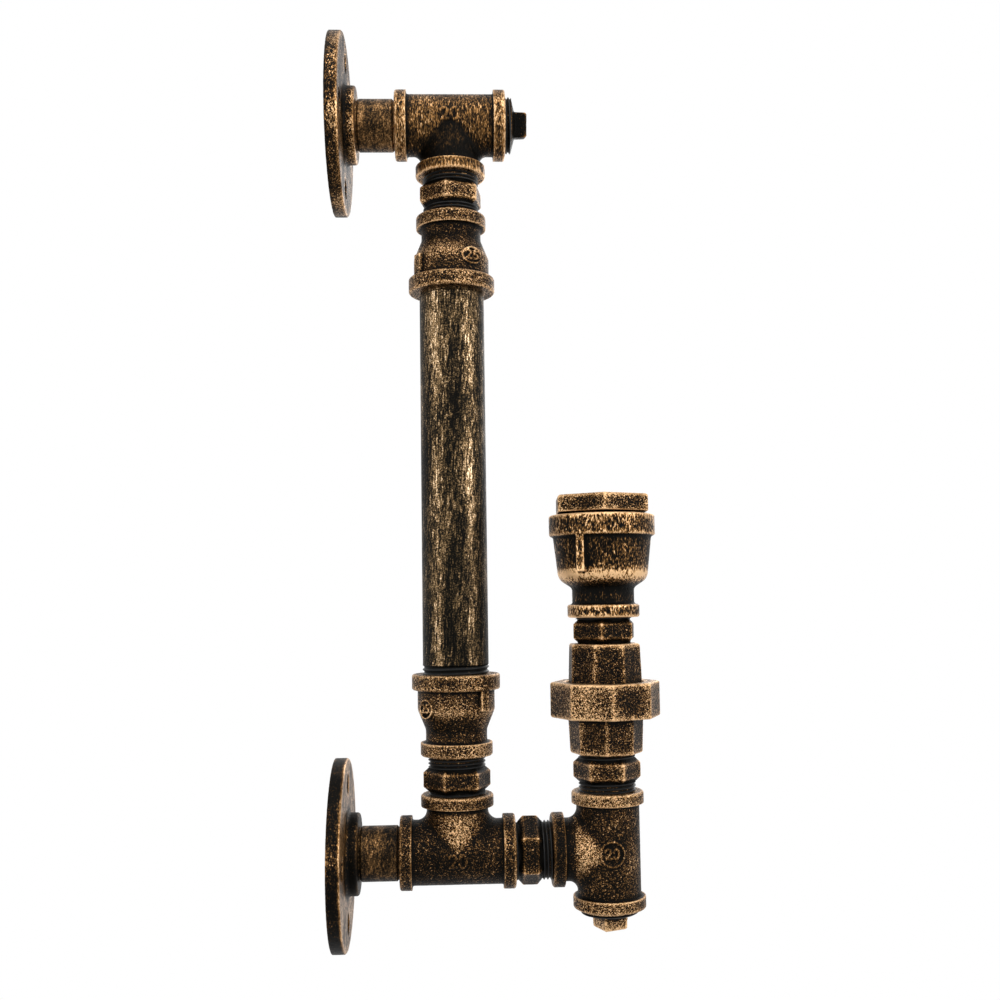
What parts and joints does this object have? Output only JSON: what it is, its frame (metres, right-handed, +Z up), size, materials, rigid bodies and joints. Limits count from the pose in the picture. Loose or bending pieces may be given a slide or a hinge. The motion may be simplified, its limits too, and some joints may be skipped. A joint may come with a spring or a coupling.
{
  "type": "pipe wall light",
  "caption": "Wall light built of threaded pipe fittings: a column between wall flanges and a swivelling arm with a union joint under an upright lamp cup.",
  "frame": {"origin": "middle of the lower flange's back face, on the wall plane", "axes": "+X away from the wall, +Z up along the column, Y along the wall"},
  "size_m": [0.1643, 0.0934, 0.4662],
  "materials": {
    "aged_fitting": "black cast iron brushed over with copper, grainy",
    "brushed_pipe": "black pipe streaked with copper along its length",
    "dark_fitting": "black with copper worn on the edges",
    "brass": "plain drawn brass",
    "steel": "plated steel",
    "holder": "black moulded thermoset",
    "gasket": "fibre ring",
    "lead": "black sheath"
  },
  "bodies": {
    "column": {"lower_flange": "aged_fitting", "upper_flange": "aged_fitting", "lower_flange_nipple": "brushed_pipe", "upper_flange_nipple": "brushed_pipe", "lower_tee": "aged_fitting", "upper_tee": "aged_fitting", "upper_tee_plug": "dark_fitting", "lower_hex_nipple": "dark_fitting", "upper_hex_nipple": "dark_fitting", "lower_reducer": "aged_fitting", "upper_reducer": "aged_fitting", "main_pipe": "brushed_pipe", "supply_lead_wall": "lead"},
    "arm": {"arm_hex_nipple": "dark_fitting", "arm_tee": "aged_fitting", "arm_tee_plug": "dark_fitting", "riser_hex_nipple": "dark_fitting", "union_tail": "aged_fitting", "union_gasket": "gasket", "supply_lead_arm": "lead"},
    "nut": {"union_nut": "aged_fitting"},
    "head": {"union_head": "aged_fitting", "head_hex_nipple": "dark_fitting", "lamp_cup": "aged_fitting", "lamp_bushing": "aged_fitting", "lampholder_body": "holder", "lampholder_shell": "brass", "contact_tab": "brass", "terminal_screws": "steel", "supply_lead_head": "lead"},
    "contact": {"centre_contact": "brass"}
  },
  "joints": [
    {"name": "arm_swivel", "type": "hinge", "parent": "column", "child": "arm", "pos_m": [0.0896, 0, 0], "axis": [1, 0, 0], "range_deg": [-90, 90]},
    {"name": "nut_turn", "type": "hinge", "parent": "arm", "child": "nut", "pos_m": [0.1364, 0, 0.0742], "axis": [0, 0, 1], "range_deg": [0, 90]},
    {"name": "head_swivel", "type": "hinge", "parent": "arm", "child": "head", "pos_m": [0.1364, 0, 0.076], "axis": [0, 0, 1], "range_deg": [-170, 170]},
    {"name": "contact_press", "type": "hinge", "parent": "head", "child": "contact", "pos_m": [0.1317, 0, 0.14525], "axis": [0, 1, 0], "range_deg": [0, 8], "stiffness_Nm_per_rad": 0.15}
  ]
}
